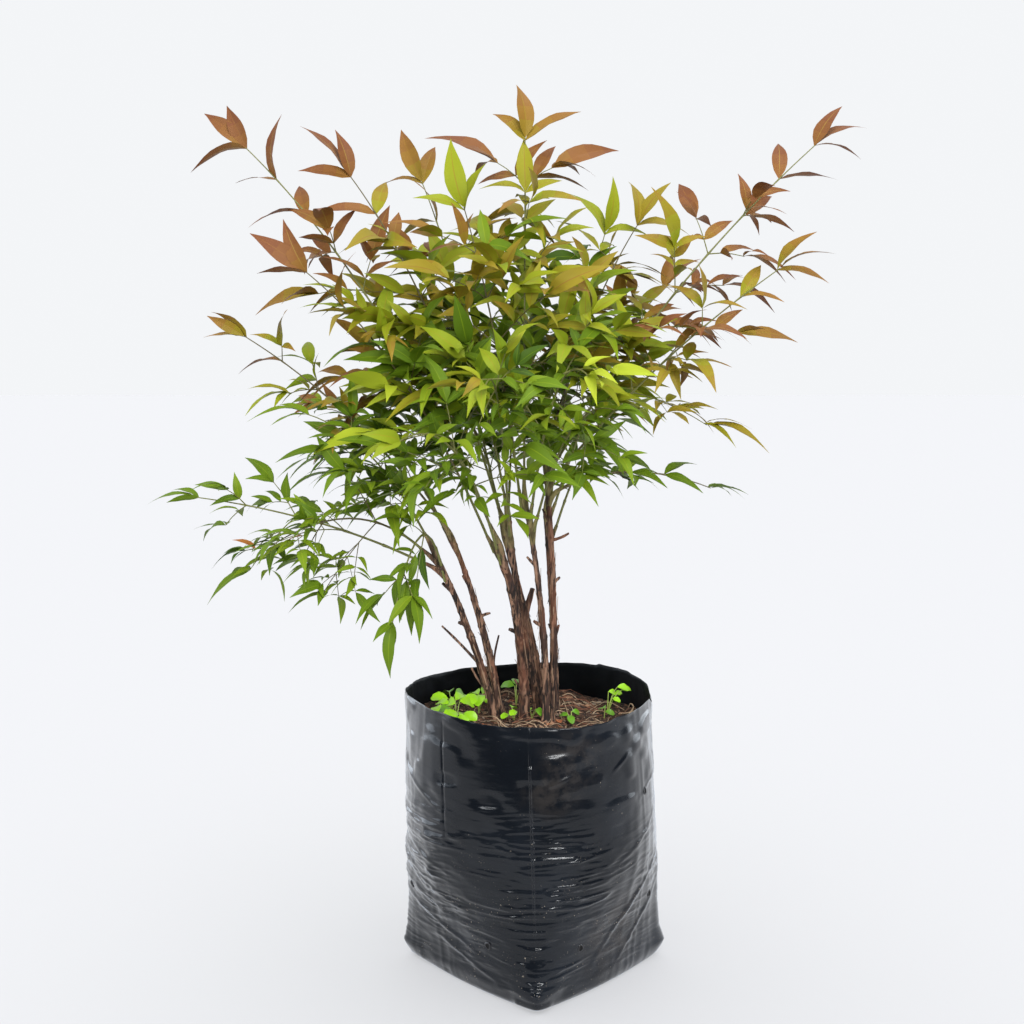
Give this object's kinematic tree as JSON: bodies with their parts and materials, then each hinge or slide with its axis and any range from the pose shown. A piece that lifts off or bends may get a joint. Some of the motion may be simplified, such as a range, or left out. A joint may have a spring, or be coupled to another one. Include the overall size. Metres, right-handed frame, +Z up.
{
  "type": "potted shrub",
  "caption": "Heavenly bamboo shrub with slim woody canes and airy compound leaves, growing in a filled black nursery bag that stands on its flat foot.",
  "frame": {"origin": "centre of the bag's flat underside", "axes": "+X to the right and -Y to the front of the plant, +Z up"},
  "size_m": [0.6378, 0.4711, 0.8177],
  "materials": {
    "film": "glossy wrinkled film",
    "growing_medium": "rough bark chips",
    "bark": "rough fissured bark",
    "green_stalk": "smooth",
    "foliage_low": "satin leaf",
    "foliage_middle": "satin leaf",
    "foliage_high": "satin leaf"
  },
  "bodies": {
    "root": {"bag": "film", "bough_crown_middle": "green_stalk", "bough_far_left_low": "green_stalk", "bough_far_right_high": "green_stalk", "bough_far_right_middle": "green_stalk", "bough_front_left": "green_stalk", "bough_front_middle": "green_stalk", "bough_front_right": "green_stalk", "bough_hanging_left": "green_stalk", "bough_left_high": "green_stalk", "bough_left_low": "green_stalk", "bough_rear_left_low": "green_stalk", "bough_rear_low": "green_stalk", "bough_rear_middle": "green_stalk", "bough_rear_right": "green_stalk", "bough_rear_right_high": "green_stalk", "bough_rear_right_low": "green_stalk", "bough_right_front": "green_stalk", "bough_right_low": "green_stalk", "bough_upper_left": "green_stalk", "cane_left_back": "bark", "cane_left_front": "bark", "cane_middle": "bark", "cane_rear": "bark", "cane_rear_centre": "bark", "cane_right": "bark", "cane_slender": "bark", "cane_thick": "bark", "foliage_crown_left": "foliage_high", "foliage_crown_middle": "foliage_high", "foliage_crown_top": "foliage_high", "foliage_far_left_high": "foliage_high", "foliage_far_left_low": "foliage_low", "foliage_far_left_middle": "foliage_middle", "foliage_far_right_high": "foliage_high", "foliage_far_right_middle": "foliage_high", "foliage_front_left": "foliage_middle", "foliage_front_middle": "foliage_middle", "foliage_front_right": "foliage_middle", "foliage_hanging_left": "foliage_low", "foliage_left_high": "foliage_high", "foliage_left_low": "foliage_low", "foliage_left_middle": "foliage_middle", "foliage_rear_left_high": "foliage_high", "foliage_rear_left_low": "foliage_middle", "foliage_rear_low": "foliage_middle", "foliage_rear_middle": "foliage_middle", "foliage_rear_right": "foliage_middle", "foliage_rear_right_high": "foliage_high", "foliage_rear_right_low": "foliage_middle", "foliage_right_front": "foliage_middle", "foliage_right_high": "foliage_high", "foliage_right_low": "foliage_low", "foliage_upper_left": "foliage_high", "foliage_upper_right": "foliage_high", "growing_medium": "growing_medium"}
  },
  "joints": []
}
